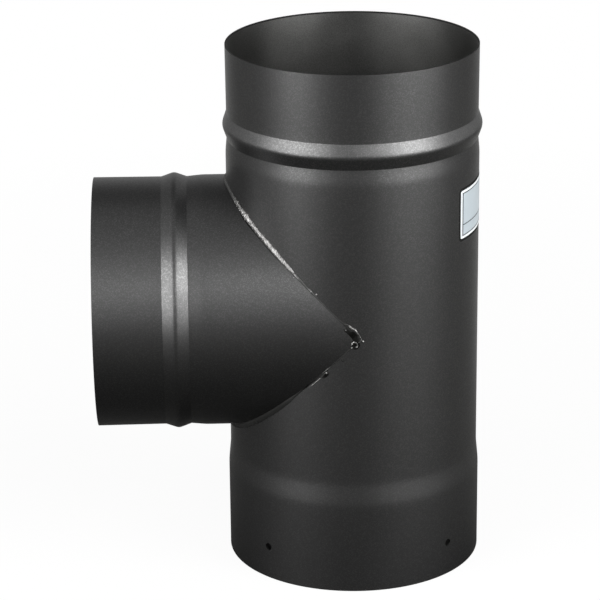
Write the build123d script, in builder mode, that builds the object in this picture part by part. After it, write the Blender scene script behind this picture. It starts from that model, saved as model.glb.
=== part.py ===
from build123d import *
import os
from math import sin, sqrt

# Stove pipe tee: a single-wall smoke pipe with an equal branch, rolled from sheet and welded.
# Millimetres, +Z up. The origin is the centre of the run pipe's bottom edge. The branch points to -X.

# Sheet and pipe
pipe_diameter = 152.4        # outside of the plain body, the same for run and branch
wall = 0.8

# Lengths along the axes
socket_depth = 56.0          # straight part of the widened bottom end
socket_step = 13.0           # length over which the pipe widens to the socket
lower_body = 16.8            # plain body from the socket up to the branch's lower crotch
top_stub = 83.8              # from the upper crotch to the top mouth
branch_stub = 80.3           # from the crotches to the branch mouth

# Spigots, the two male ends, and the socket that takes a spigot of the same size
spigot_shrink = 0.6          # taken off the body's radius
joint_clearance = 1.05       # from a spigot to the inside of a socket, each side

# Rolled bead, the stop for the next pipe's socket
bead_from_mouth = 48.8       # mouth to the middle of the bead
bead_width = 15.5            # from foot to foot
bead_rise = 1.6              # crest above the body's surface
bead_pull_in = 0.8           # inner foot below the body's surface
bead_draw = 8.0              # length over which the drawn-in sheet comes back to size
bead_flats = 4               # narrow bands that follow the round of the crest

# Screw holes round the socket, clear of the branch's plane
screw_hole_diameter = 4.5
screw_hole_height = 20.5
screw_hole_count = 4
screw_hole_angle = 45.0      # the first one, counted from +X

# Welds
saddle_weld_half = 1.6       # half the width of the bead of weld metal along the saddle line
saddle_weld_rise = 0.9       # its ridge above the pipes
saddle_weld_root = 0.25      # its edges below the pipes' surface, where it runs out thin
saddle_lump_size = 2.6       # radius, at its root, of the lump where the two legs of the saddle line meet
saddle_lump_rise = 1.4
saddle_lump_taper = 25.0
saddle_lump_sides = 8

# Label on the run pipe, bare
label_width = 50.0
label_height = 29.7
label_thickness = 0.15
label_corner = 1.5
label_angle = -17.4          # its middle, counted from +X
label_gap = 15.5             # from the end of the bead's drawn length down to its top edge

body_radius = pipe_diameter / 2
spigot_radius = body_radius - spigot_shrink
socket_radius = spigot_radius + joint_clearance + wall
foot_radius = body_radius - bead_pull_in
branch_height = socket_depth + socket_step + lower_body + body_radius
run_height = branch_height + body_radius + top_stub
branch_reach = body_radius + branch_stub

# Distances from a mouth, going in
foot_out = bead_from_mouth - bead_width / 2
foot_in = bead_from_mouth + bead_width / 2
draw_in = foot_in + bead_draw
step_start = run_height - socket_depth - socket_step
step_end = run_height - socket_depth

# Each pipe is drawn inwards from its mouth: local X is the radius, local Y the distance from the mouth.
run_section = Plane(origin=(0, 0, run_height), x_dir=(1, 0, 0), z_dir=(0, 1, 0))
branch_section = Plane(origin=(-branch_reach, 0, branch_height), x_dir=(0, 0, 1), z_dir=(0, 1, 0))
run_axis = Axis.Z
branch_axis = Axis((0, 0, branch_height), (1, 0, 0))


def spigot_line():
    """Draw the outside line of a spigot and its bead, and return where the plain body begins."""
    straight = Line((spigot_radius, 0), (spigot_radius, foot_out))
    top = (body_radius + bead_rise, bead_from_mouth)
    arc = ThreePointArc(straight @ 1, top, (foot_radius, foot_in), mode=Mode.PRIVATE)
    crest = Polyline(*[arc @ (i / bead_flats) for i in range(bead_flats + 1)])
    release = Line(crest @ 1, (body_radius, draw_in))
    return release @ 1


# The branch's side of the mitre: both pipes end on the two planes that halve the tee's corners.
far = branch_reach + body_radius
with BuildPart() as branch_side:
    with BuildSketch(Plane.XZ):
        with BuildLine():
            corner = (0, branch_height)
            Polyline(corner, (-far, branch_height + far), (-far, branch_height - far), close=True)
        make_face()
    extrude(amount=pipe_diameter, both=True)

# Run pipe: one rolled sheet with a beaded spigot above, a widened socket below and the saddle opening.
# The lengthwise weld that closes each sheet is rolled down flush, so it has no form of its own.
with BuildPart() as run_pipe:
    with BuildSketch(run_section):
        with BuildLine():
            body = Line(spigot_line(), (body_radius, step_start))
            step = Line(body @ 1, (socket_radius, step_end))
            Line(step @ 1, (socket_radius, run_height))
            offset(amount=wall, kind=Kind.INTERSECTION, side=Side.LEFT)
        make_face()
    revolve(axis=run_axis)
    add(branch_side.part, mode=Mode.SUBTRACT)
    with Locations((0, 0, screw_hole_height)):
        with PolarLocations(0, screw_hole_count, start_angle=screw_hole_angle):
            Cylinder(
                screw_hole_diameter / 2,
                socket_radius + wall,
                rotation=(0, 90, 0),
                align=(Align.CENTER, Align.CENTER, Align.MIN),
                mode=Mode.SUBTRACT,
            )
run_pipe.part.label = "run_pipe"

# Branch pipe: the same spigot and bead, coped to a V where it meets the run
with BuildPart() as branch_pipe:
    with BuildSketch(branch_section):
        with BuildLine():
            Line(spigot_line(), (body_radius, branch_reach + wall))
            offset(amount=wall, kind=Kind.INTERSECTION, side=Side.LEFT)
        make_face()
    revolve(axis=branch_axis)
    add(branch_side.part, mode=Mode.INTERSECT)
branch_pipe.part.label = "branch_pipe"

# The room inside both pipes' outer surfaces, which the saddle weld lies on
with BuildPart() as run_room:
    Cylinder(body_radius, run_height, align=(Align.CENTER, Align.CENTER, Align.MIN))
    add(branch_side.part, mode=Mode.SUBTRACT)
with BuildPart() as branch_room:
    with BuildSketch(Plane.YZ.offset(-branch_reach)):
        with Locations((0, branch_height)):
            Circle(body_radius)
    extrude(amount=branch_reach + wall)
    add(branch_side.part, mode=Mode.INTERSECT)

# Saddle weld: a ridged bead along the two half-ellipses of the V, with a lump at each tip where they meet.
# Each leg is drawn as a slice between its ridge and its two edges, and what lies in the pipes is taken away.
leg_run_past = 0.5           # degrees that each leg runs on past the tips, into the lumps
leg_angle = 180 + 2 * leg_run_past
leg_depth = body_radius * sqrt(2)
with BuildPart() as saddle_weld:
    for side in (1, -1):
        leg_plane = Plane(origin=(0, 0, branch_height), x_dir=(0, 1, 0), z_dir=(side, 0, 1))
        near_edge = (-saddle_weld_half, -saddle_weld_root)
        ridge = (0, saddle_weld_rise)
        far_edge = (saddle_weld_half, -saddle_weld_root)
        for across, out in (near_edge, ridge, far_edge):
            with BuildSketch(leg_plane.offset(across)):
                with BuildLine():
                    arc = EllipticalCenterArc(
                        (0, abs(across)),
                        body_radius + out,
                        leg_depth + out,
                        start_angle=-leg_run_past,
                        arc_size=leg_angle,
                    )
                    Line(arc @ 1, arc @ 0)
                make_face()
        loft(ruled=True)
    for way in (1, -1):
        root = (0, way * (body_radius - saddle_lump_rise), branch_height)
        with BuildSketch(Plane(origin=root, z_dir=(0, way, 0))):
            RegularPolygon(saddle_lump_size, saddle_lump_sides)
        extrude(amount=2 * saddle_lump_rise, taper=saddle_lump_taper)
    add(run_room.part, mode=Mode.SUBTRACT)
    add(branch_room.part, mode=Mode.SUBTRACT)
saddle_weld.part.label = "saddle_weld"

# Label: thin film with rounded corners, wrapped on the run pipe
label_middle = run_height - draw_in - label_gap - label_height / 2
label_half_angle = label_width / body_radius / 2
label_chord = 2 * (body_radius + label_thickness) * sin(label_half_angle)
label_out = Vector(1, 0, 0).rotate(Axis.Z, label_angle)
label_face = Plane(origin=(0, 0, label_middle), x_dir=label_out.rotate(Axis.Z, 90), z_dir=label_out)
with BuildPart() as label:
    with BuildSketch(Plane.XY.offset(label_middle)):
        Circle(body_radius + label_thickness)
        Circle(body_radius, mode=Mode.SUBTRACT)
    extrude(amount=label_height, both=True)
    with BuildSketch(label_face):
        RectangleRounded(label_chord, label_height, label_corner)
    extrude(amount=pipe_diameter, mode=Mode.INTERSECT)
label.part.label = "label"

os.makedirs("parts", exist_ok=True)
for piece in (run_pipe, branch_pipe, saddle_weld, label):
    export_step(piece.part, f"parts/{piece.part.label}.step")
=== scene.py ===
# %% [markdown]
# # A stove pipe tee, from bare frame to finished piece
#
# The tee is a smoke pipe rolled from steel sheet, with a second pipe of the same size let into its side. A
# maker rolls two tubes, presses a bead round each male end, widens the bottom end into a socket, copes both
# tubes along a V and welds them there. Last comes heat-resistant paint, with bare steel left where the weld
# was touched up.
#
# The CAD model already fixes every size, so it is loaded first, as a frame. Everything made here lies in
# that frame, in metres, with +Z up the run pipe and -X along the branch.

import math

import bmesh
import bpy
from mathutils import Matrix, Vector, noise


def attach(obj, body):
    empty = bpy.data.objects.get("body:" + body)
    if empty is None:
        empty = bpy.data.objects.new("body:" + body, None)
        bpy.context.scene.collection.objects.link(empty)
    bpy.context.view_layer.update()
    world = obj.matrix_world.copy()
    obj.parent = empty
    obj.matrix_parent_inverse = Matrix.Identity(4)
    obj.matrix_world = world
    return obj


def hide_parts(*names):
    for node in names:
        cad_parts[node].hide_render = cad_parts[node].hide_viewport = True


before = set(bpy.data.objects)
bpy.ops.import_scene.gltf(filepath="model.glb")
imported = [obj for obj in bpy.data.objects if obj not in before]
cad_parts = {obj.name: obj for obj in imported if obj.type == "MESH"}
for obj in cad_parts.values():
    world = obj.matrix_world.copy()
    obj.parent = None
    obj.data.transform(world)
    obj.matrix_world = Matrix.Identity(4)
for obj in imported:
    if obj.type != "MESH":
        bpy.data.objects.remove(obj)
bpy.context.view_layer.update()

# %% [markdown]
# ## Sizes
#
# These are the sizes of the part's source, in metres. Only the rolled bead is drawn finer than the CAD
# model's narrow flats: it keeps its feet, crest and width, and the sheet beside it differs by at most
# 0.15 mm, because the spigot narrows a little towards its bead.

# %% Sizes of the tee
mm = 0.001
body_radius = 76.2 * mm
wall = 0.8 * mm
run_height = 322.0 * mm
branch_height = 162.0 * mm
branch_reach = 156.5 * mm
socket_depth, socket_step, socket_radius = 56.0 * mm, 13.0 * mm, 77.45 * mm
bead_middle, bead_half, bead_crest = 48.8 * mm, 7.75 * mm, 77.8 * mm
mouth_radius, outer_foot_radius, inner_foot_radius = 75.7 * mm, 75.45 * mm, 75.35 * mm
bead_draw = 9.0 * mm
flank_slope = math.radians(18.8)
print("pipe diameter in mm:", round(2 * body_radius / mm, 1), "height in mm:", round(run_height / mm, 1))

# %% [markdown]
# ## A helper for nodes
#
# Shapes and finishes below are both built from nodes. They could be joined by hand, but in a script one
# helper adds a node, sets its options and feeds its inputs, and every tree reads the same way. A feed is a
# plain value, a socket, or a whole node, which stands for its first output in use.

# %% One helper adds a node


def feed(tree, node, feeds):
    """Feed a node's inputs, each given by its name or its place."""
    for key, source in feeds.items():
        if isinstance(source, bpy.types.Node):
            source = next(socket for socket in source.outputs if socket.enabled)
        if isinstance(source, bpy.types.NodeSocket):
            tree.links.new(source, node.inputs[key])
        else:
            node.inputs[key].default_value = source


def put(tree, kind, *values, feeds=None, **options):
    """Add a node to a tree. `values` feed its first inputs in order, `feeds` its inputs by name."""
    node = tree.nodes.new(kind)
    for name, value in options.items():
        setattr(node, name, value)
    feed(tree, node, {**dict(enumerate(values)), **(feeds or {})})
    return node


# %% [markdown]
# ## The section of the sheet
#
# On the real tee a roller presses the bead into the finished tube, so the sheet keeps its thickness right
# through it: the inside shows the same bead as a groove. A ring could be added outside, but it would miss
# the groove. The simplest way is one line, the outside of the sheet from a mouth inwards, with each corner
# bent to a radius. The inside is that line, moved in by the wall.

# %% Draw the sheet's outside line
foot_bend = 0.9 * mm  # at the bead's feet
draw_bend = 40 * mm  # where the drawn-in sheet is back to size
step_bend = 45 * mm  # at both ends of the socket's step


def bend_corners(corners, degrees_a_step=6.0):
    """Points of a line through (radius, distance, bend) corners, each bent to its radius."""
    line = [Vector(corners[0][:2])]
    for before, corner, after in zip(corners, corners[1:], corners[2:]):
        here = Vector(corner[:2])
        back = (Vector(before[:2]) - here).normalized()
        ahead = (Vector(after[:2]) - here).normalized()
        turn = math.pi - back.angle(ahead)
        middle = here + (back + ahead).normalized() * corner[2] / math.cos(turn / 2)
        start = here + back * corner[2] * math.tan(turn / 2) - middle
        way = math.copysign(turn, back.cross(ahead)) * -1
        steps = max(2, math.ceil(math.degrees(turn) / degrees_a_step))
        for step in range(steps + 1):
            line.append(middle + Matrix.Rotation(way * step / steps, 2) @ start)
    line.append(Vector(corners[-1][:2]))
    return line


def divide(line, longest):
    """The same line with extra points, so that no span is longer than `longest`."""
    points = [line[0]]
    for start, end in zip(line, line[1:]):
        steps = max(1, math.ceil((end - start).length / longest))
        points += [start.lerp(end, step / steps) for step in range(1, steps + 1)]
    return points


def move_in(line, depth):
    """The line moved towards the pipe's axis, square to itself, by a depth. Its ends stay level."""
    moved = []
    for index, point in enumerate(line):
        along = line[index + 1] - line[index - 1] if 0 < index < len(line) - 1 else Vector((0, 1))
        moved.append(point - Vector((along.y, -along.x)).normalized() * depth)
    return moved


apex = outer_foot_radius + bead_half * math.tan(flank_slope)  # where the two flanks would meet
crest_bend = (apex - bead_crest) / (1 / math.cos(flank_slope) - 1)
spigot_corners = [
    (mouth_radius, 0),
    (outer_foot_radius, bead_middle - bead_half, foot_bend),
    (apex, bead_middle, crest_bend),
    (inner_foot_radius, bead_middle + bead_half, foot_bend),
    (body_radius, bead_middle + bead_half + bead_draw, draw_bend),
]
socket_corners = [
    (socket_radius, 0),
    (socket_radius, socket_depth, step_bend),
    (body_radius, socket_depth + socket_step, step_bend),
]
print("crest bend in mm:", round(crest_bend / mm, 2))

# %% [markdown]
# ## Recipes
#
# A shape that follows a rule is made by a geometry tree, a small recipe with named sizes. All recipes start
# and end alike, so two helpers write those parts. Each ends by making its instances real and giving them
# their finish, because only plain faces travel well to other programs.

# %% Start and end a recipe


def new_recipe(name, sizes):
    """Start a geometry tree with the given named inputs, and return it with its input and output nodes."""
    tree = bpy.data.node_groups.new(name, "GeometryNodeTree")
    tree.interface.new_socket("Geometry", in_out="INPUT", socket_type="NodeSocketGeometry")
    for size, kind in sizes.items():
        tree.interface.new_socket(size, in_out="INPUT", socket_type="NodeSocket" + kind)
    tree.interface.new_socket("Geometry", in_out="OUTPUT", socket_type="NodeSocketGeometry")
    return tree, put(tree, "NodeGroupInput"), put(tree, "NodeGroupOutput")


def end_recipe(tree, geometry, given, result):
    """End a geometry tree: make its instances real, give them their finish and hand them out."""
    realized = put(tree, "GeometryNodeRealizeInstances", geometry)
    finish = {"Material": given.outputs["Finish"]}
    feed(tree, result, {0: put(tree, "GeometryNodeSetMaterial", realized, feeds=finish)})
    print(tree.name, "nodes:", len(tree.nodes))


# %% [markdown]
# Both recipes for a main form also roll a flat sheet of faces round a drawn line. Each of its points knows
# its place from 0 to 1 along the sheet, and each row stands for one point of the line.

# %% Roll a flat sheet round a drawn line


def flat_sheet(tree, columns, rows):
    """Add a flat sheet of faces, and each point's place on it, from 0 to 1 along X and Y."""
    spans = {"Size X": 1, "Size Y": 1, "Vertices X": columns, "Vertices Y": rows}
    sheet = put(tree, "GeometryNodeMeshGrid", feeds=spans)
    shifted = put(tree, "ShaderNodeVectorMath", put(tree, "GeometryNodeInputPosition"), (0.5, 0.5, 0))
    return sheet, put(tree, "ShaderNodeSeparateXYZ", shifted)


def line_point(tree, line, count, share):
    """Read a closed line's point at a share of its way round. Returns its row, and its X, Y and Z."""
    row = put(tree, "ShaderNodeMath", share, count, operation="MULTIPLY")
    whole_row = put(tree, "ShaderNodeMath", row, operation="ROUND")
    index = put(tree, "ShaderNodeMath", whole_row, count, operation="MODULO")
    feeds = {"Value": put(tree, "GeometryNodeInputPosition"), "Index": index}
    point = put(tree, "GeometryNodeSampleIndex", line, data_type="FLOAT_VECTOR", feeds=feeds)
    return row, put(tree, "ShaderNodeSeparateXYZ", point)


# %% [markdown]
# ## A recipe for a pipe that ends on the saddle
#
# Two pipes of one size meet on two flat planes at 45 degrees, seen from the front as a V. They could be cut
# there with Booleans, which leave ragged faces. Instead the tee is three lengths of one kind: the run below
# the branch, the run above it, and the branch. Each is turned like pottery, ring by ring from the drawn
# line, and its last rings are pulled back until they end on the V.
#
# The run's two lengths are pulled back on the branch's side only, so they still meet on the other side. The
# strip of wall between the inside and the outside is left out there, and welding the doubles joins the two
# into one tube.

# %% Recipe: turn a line round
double_distance = 0.002 * mm  # points nearer than this are one point
turned, given, result = new_recipe(
    "Pipe up to the saddle",
    {
        "Steps round": "Int",
        "Axis distance": "Float",
        "Straight up to": "Float",
        "Both sides": "Float",
        "Place": "Vector",
        "Turn": "Vector",
        "Finish": "Material",
    },
)
drawn_line = given.outputs["Geometry"]
ring_count = put(turned, "GeometryNodeAttributeDomainSize", drawn_line).outputs["Point Count"]
columns = put(turned, "ShaderNodeMath", given.outputs["Steps round"], 1, operation="ADD")
rows = put(turned, "ShaderNodeMath", ring_count, 1, operation="ADD")
sheet, across = flat_sheet(turned, columns, rows)
row, drawn = line_point(turned, drawn_line, ring_count, across.outputs["Y"])
angle = put(turned, "ShaderNodeMath", across.outputs["X"], math.tau, operation="MULTIPLY")
cosine = put(turned, "ShaderNodeMath", angle, operation="COSINE")
sine = put(turned, "ShaderNodeMath", angle, operation="SINE")
radius, distance = drawn.outputs["X"], drawn.outputs["Z"]
print("nodes that turn the line:", len(turned.nodes))

# %% Recipe: pull its end back to the V
x = put(turned, "ShaderNodeMath", radius, cosine, operation="MULTIPLY")
y = put(turned, "ShaderNodeMath", radius, sine, operation="MULTIPLY")
one_side = put(turned, "ShaderNodeMath", x, -1, operation="MULTIPLY")
other_side = put(turned, "ShaderNodeMath", x, given.outputs["Both sides"], operation="MULTIPLY")
pull = put(turned, "ShaderNodeMath", one_side, other_side, operation="MAXIMUM")
pull_span = (given.outputs["Straight up to"], given.outputs["Axis distance"])
share = put(turned, "ShaderNodeMapRange", distance, *pull_span)
pulled = put(turned, "ShaderNodeMath", pull, share, operation="MULTIPLY")
z = put(turned, "ShaderNodeMath", distance, pulled, operation="SUBTRACT")
print("nodes with the pull:", len(turned.nodes))

# %% Recipe: leave the wall's strip out on the far side, and set the pipe down
# The strip is the last row of faces, and a face's own row is the middle of its points' rows.
last_row = put(turned, "ShaderNodeMath", ring_count, 0.75, operation="SUBTRACT")
on_strip = put(turned, "ShaderNodeMath", row, last_row, operation="GREATER_THAN")
far_side = put(turned, "ShaderNodeMath", cosine, given.outputs["Both sides"], operation="GREATER_THAN")
doubled = put(turned, "ShaderNodeMath", on_strip, far_side, operation="MULTIPLY")
opened = put(turned, "GeometryNodeDeleteGeometry", sheet, doubled, domain="FACE")
spot = put(turned, "ShaderNodeCombineXYZ", x, y, z)
shaped = put(turned, "GeometryNodeSetPosition", opened, feeds={"Position": spot})
round_tube = put(turned, "GeometryNodeMergeByDistance", shaped, feeds={"Distance": double_distance})
stand = {
    "Translation": given.outputs["Place"],
    "Rotation": put(turned, "FunctionNodeEulerToRotation", given.outputs["Turn"]),
}
set_down = put(turned, "GeometryNodeTransform", round_tube, feeds=stand)
end_recipe(turned, set_down, given, result)

# %% [markdown]
# ## Colours and finishes
#
# Heat-resistant stove paint is a matt silicone lacquer with a little metal flake. To the eye it is a dark
# grey that never turns quite black, with a broad soft sheen and a fine sparkle in the light, like fine
# sandpaper. A picture could be wrapped round the pipes, but patterns worked out from real sizes fit every
# piece, without a seam.
#
# Real colours are read from a screen, so they are written as hex values, and one function turns them to
# light values.

# %% Turn a screen colour to light values


def light_values(hex_colour):
    """The linear colour that a renderer needs, from a screen colour such as #3a3a38."""
    parts = [int(hex_colour[index:index + 2], 16) / 255 for index in (1, 3, 5)]
    return [part / 12.92 if part <= 0.04045 else ((part + 0.055) / 1.055) ** 2.4 for part in parts] + [1.0]


def between(share, *tones):
    """What a mix of two tones is fed with. A tone is a screen colour or a node."""
    first, second = (light_values(tone) if isinstance(tone, str) else tone for tone in tones)
    return {"Factor": share, "A": first, "B": second}


print("mid grey #808080 as light:", [round(part, 3) for part in light_values("#808080")])

# %% [markdown]
# Every finish starts from the same shader, and the small ones differ only in their two tones, their grain
# and their gloss. So one helper starts a finish, and another makes a whole small one.

# %% Start a finish


def new_finish(name):
    """A material with a Principled shader, returned with its tree, shader and object coordinates."""
    material = bpy.data.materials.new(name)
    material.use_nodes = True
    tree = material.node_tree
    shader = next(node for node in tree.nodes if node.type == "BSDF_PRINCIPLED")
    print("finish:", name)
    return material, tree, shader, put(tree, "ShaderNodeTexCoord").outputs["Object"]


def grainy_finish(name, grain, tones, roughness, gloss=0.5, detail=2.0):
    """A finish of two tones and a noise of the given grain, returned with its tree, shader and noise."""
    material, tree, shader, at = new_finish(name)
    speckle = put(tree, "ShaderNodeTexNoise", feeds={"Vector": at, "Scale": 1 / grain, "Detail": detail})
    colour = put(tree, "ShaderNodeMix", feeds=between(speckle, *tones), data_type="RGBA")
    feed(tree, shader, {"Base Color": colour, "Roughness": roughness, "Specular IOR Level": gloss})
    return material, tree, shader, speckle


# %% [markdown]
# The flake is far finer than one dot of the picture, so it is drawn at about half a millimetre, as coarse as
# it needs to be to show. Two patterns do the work: a cell pattern picks single flakes that catch the light,
# and a soft noise gives the orange-peel of sprayed lacquer.

# %% Stove paint
stove_paint, tree, shader, at = new_finish("heat-resistant stove paint with metal flake")
flake_size, spray_size, cloud_size = 0.45 * mm, 1.4 * mm, 45 * mm
paint_rough, flake_shine, cloud_drift = 0.375, -0.05, 0.03
flakes = put(tree, "ShaderNodeTexVoronoi", feeds={"Vector": at, "Scale": 1 / flake_size, "Randomness": 1.0})
flake_pick = put(tree, "ShaderNodeSeparateColor", flakes.outputs["Color"])
glints = put(tree, "ShaderNodeMapRange", flake_pick.outputs[0], 0.55, 1.0, 0.0, 1.0)
droplets = {"Vector": at, "Scale": 1 / spray_size, "Detail": 3.0, "Roughness": 0.6}
spray = put(tree, "ShaderNodeTexNoise", feeds=droplets)
clouds = put(tree, "ShaderNodeTexNoise", feeds={"Vector": at, "Scale": 1 / cloud_size, "Detail": 2.0})
paint_colour = put(tree, "ShaderNodeMix", feeds=between(glints, "#545454", "#6a6a6a"), data_type="RGBA")
mottle = put(tree, "ShaderNodeMath", glints, flake_shine, paint_rough, operation="MULTIPLY_ADD")
sheen_drift = put(tree, "ShaderNodeMath", clouds, cloud_drift, mottle, operation="MULTIPLY_ADD")
grain = put(tree, "ShaderNodeMath", spray, flake_pick.outputs[1], operation="ADD")
peel = put(tree, "ShaderNodeBump", feeds={"Strength": 0.22, "Distance": 0.05 * mm, "Height": grain})
feed(tree, shader, {"Base Color": paint_colour, "Roughness": sheen_drift, "Normal": peel, "Metallic": 1.0})

# %% [markdown]
# Inside the pipes the spray arrives thin and half dry, and the steel shows through it. So the inside is paler
# than the outside, with a coarser dusty grain, though the dark walls it faces still keep it dim.

# %% Dry overspray inside
dry_overspray, tree, shader, at = new_finish("dry overspray of stove paint inside the pipes")
dust_size, drift_size = 0.5 * mm, 30 * mm
dusty = {"Vector": at, "Scale": 1 / dust_size, "Detail": 3.0, "Roughness": 0.7}
dust = put(tree, "ShaderNodeTexNoise", feeds=dusty)
drift = put(tree, "ShaderNodeTexNoise", feeds={"Vector": at, "Scale": 1 / drift_size, "Detail": 2.0})
dust_spread = put(tree, "ShaderNodeMapRange", dust, 0.3, 0.7, 0.0, 1.0)
inside_tones = between(dust_spread, "#6a6a69", "#939391")
inside_colour = put(tree, "ShaderNodeMix", feeds=inside_tones, data_type="RGBA")
inside_rough = put(tree, "ShaderNodeMapRange", drift, 0.3, 0.7, 0.31, 0.36)
grit = put(tree, "ShaderNodeBump", feeds={"Strength": 0.8, "Distance": 0.06 * mm, "Height": dust})
feed(tree, shader, {"Base Color": inside_colour, "Roughness": inside_rough, "Normal": grit, "Metallic": 1.0})

# %% [markdown]
# A sheared edge is no brighter than the sheet. The edge, and a band just inside the lip, are painted near
# black and matt: painted shade for the thin dark line they show, so they stay dark where the sheet shines.

# %% Sheared edge
sheared_edge_shade = grainy_finish(
    "sheared sheet edge, painted dark as shade", 0.8 * mm, ("#141414", "#262625"), 0.85, gloss=0.2
)[0]

# %% [markdown]
# ## The run and the branch
#
# A recipe works on a host object, and what it makes is frozen into a plain mesh. Frozen meshes are closed,
# and their faces point outwards.

# %% Hosts and plain meshes


def new_piece(name, mesh):
    """Put a mesh in the scene as an object at the origin."""
    piece = bpy.data.objects.new(name, mesh)
    bpy.context.scene.collection.objects.link(piece)
    return piece


def cook(host, tree, sizes):
    """Give a host object a recipe, and set the recipe's sizes by their sockets' identifiers."""
    step = host.modifiers.new(tree.name, "NODES")
    step.node_group = tree
    for item in tree.interface.items_tree:
        if item.in_out == "INPUT" and item.name in sizes:
            step[item.identifier] = sizes[item.name]


def freeze(host, name):
    """Turn a host with its modifiers into one plain mesh piece, and remove the host."""
    bpy.context.view_layer.update()
    done = host.evaluated_get(bpy.context.evaluated_depsgraph_get())
    mesh = bpy.data.meshes.new_from_object(done)
    bpy.data.objects.remove(host)
    mesh.name = name
    return new_piece(name, mesh)


def close_up(piece, sharp_degrees=35):
    """Weld doubles, fill open ends, point the faces outwards, and shade smooth up to sharp edges."""
    mesh = bmesh.new()
    mesh.from_mesh(piece.data)
    bmesh.ops.remove_doubles(mesh, verts=mesh.verts, dist=double_distance)
    bmesh.ops.holes_fill(mesh, edges=[edge for edge in mesh.edges if edge.is_boundary], sides=0)
    bmesh.ops.recalc_face_normals(mesh, faces=mesh.faces)
    mesh.to_mesh(piece.data)
    open_edges = sum(not edge.is_manifold for edge in mesh.edges)
    mesh.free()
    piece.data.shade_smooth()
    piece.data.set_sharp_from_angle(angle=math.radians(sharp_degrees))
    print(piece.name, "faces:", len(piece.data.polygons), "open edges:", open_edges)
    return piece


# %% [markdown]
# Each length is a host that holds the drawn line, first the inside from the V out to the mouth and then the
# outside back in. The recipe turns it. The run's two lengths are joined later, when its holes are punched.

# %% Turn the three lengths of pipe
steps_round = 256
longest_span = 5.5 * mm
lip = 0.9 * mm  # how far the dark edge runs down the inside of a mouth
past = 2 * mm  # how far the sheet stays straight past a shaped end, before the pull starts


def turn_length(name, corners, axis_distance, straight, both_sides, place, turn):
    """Turn one length of pipe from its mouth up to the V, and set it in its place."""
    outside = divide(bend_corners(corners + [(body_radius, axis_distance)]), longest_span)
    outside.insert(1, outside[0].lerp(outside[1], lip / (outside[1] - outside[0]).length))
    section = move_in(outside, wall)[::-1] + outside
    mesh = bpy.data.meshes.new(name)
    mesh.from_pydata([(point.x, 0, point.y) for point in section], [], [])
    host = new_piece(name, mesh)
    sizes = {
        "Steps round": steps_round,
        "Axis distance": axis_distance,
        "Straight up to": straight,
        "Both sides": both_sides,
        "Place": place,
        "Turn": turn,
        "Finish": stove_paint,
    }
    cook(host, turned, sizes)
    return freeze(host, name)


top_length = run_height - branch_height
bead_end = bead_middle + bead_half + bead_draw + past
socket_end = socket_depth + socket_step + past
branch_place, branch_turn = (-branch_reach, 0, branch_height), (0, math.pi / 2, 0)
lengths = {  # the line, its length up to the axis, its straight part, both sides, the mouth's place and turn
    "lower_run": (socket_corners, branch_height, socket_end, 0.0, (0, 0, 0), (0, 0, 0)),
    "upper_run": (spigot_corners, top_length, bead_end, 0.0, (0, 0, run_height), (math.pi, 0, 0)),
    "branch_shell": (spigot_corners, branch_reach, bead_end, 1.0, branch_place, branch_turn),
}
lower, upper, branch = [turn_length(name, *sizes) for name, sizes in lengths.items()]
close_up(branch)

# %% [markdown]
# The screw holes repeat round the socket, so a second recipe sets one punch on each point of a ring and turns
# it to face outwards. A Boolean then takes the punches out of the sheet, as a real punch would, which is
# simpler than cutting four round holes in a curved grid of faces.

# %% Recipe: a ring of punches
punches, given, result = new_recipe(
    "Ring of punches",
    {
        "Count": "Int",
        "Ring radius": "Float",
        "Hole radius": "Float",
        "Height": "Float",
        "First angle": "Float",
        "Finish": "Material",
    },
)
ring = put(punches, "GeometryNodeMeshCircle", given.outputs["Count"], given.outputs["Ring radius"])
ring_turn = put(punches, "ShaderNodeCombineXYZ", feeds={"Z": given.outputs["First angle"]})
ring_stand = {
    "Translation": put(punches, "ShaderNodeCombineXYZ", feeds={"Z": given.outputs["Height"]}),
    "Rotation": put(punches, "FunctionNodeEulerToRotation", ring_turn),
}
turned_ring = put(punches, "GeometryNodeTransform", ring, feeds=ring_stand)
punch_sizes = {"Vertices": 40, "Radius": given.outputs["Hole radius"], "Depth": 8 * mm}
punch = put(punches, "GeometryNodeMeshCylinder", feeds=punch_sizes)
ring_point = put(punches, "GeometryNodeInputPosition")
outwards = put(punches, "ShaderNodeVectorMath", ring_point, (1, 1, 0), operation="MULTIPLY")
facing = put(punches, "FunctionNodeAlignRotationToVector", feeds={"Vector": outwards}, axis="Z")
each_point = {"Instance": punch, "Rotation": facing}
punched = put(punches, "GeometryNodeInstanceOnPoints", turned_ring, feeds=each_point)
end_recipe(punches, punched, given, result)

# %% Punch the run
hole_radius, hole_height, hole_count = 2.25 * mm, 20.5 * mm, 4


def join_pieces(name, pieces):
    """Put several pieces' meshes into one new piece, with their attributes and materials."""
    with bpy.context.temp_override(active_object=pieces[0], selected_editable_objects=pieces):
        bpy.ops.object.join()
    pieces[0].name = pieces[0].data.name = name
    return pieces[0]


punch_host = new_piece("punches", bpy.data.meshes.new("punches"))
sizes = {
    "Count": hole_count,
    "Ring radius": socket_radius - wall / 2,
    "Hole radius": hole_radius,
    "Height": hole_height,
    "First angle": math.pi / 4,
    "Finish": stove_paint,
}
cook(punch_host, punches, sizes)
cutter = freeze(punch_host, "punches")
run = close_up(join_pieces("run_shell", [lower, upper]))
cut = run.modifiers.new("punch", "BOOLEAN")
cut.operation, cut.solver, cut.object = "DIFFERENCE", "EXACT", cutter
run = close_up(freeze(run, "run_shell"))
bpy.data.objects.remove(cutter)

# %% [markdown]
# Each face of the two pipes gets one of three finishes, by where it lies and which way it looks: paint
# outside, overspray inside, and the sheared edge at a mouth and just inside its lip.

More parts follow.
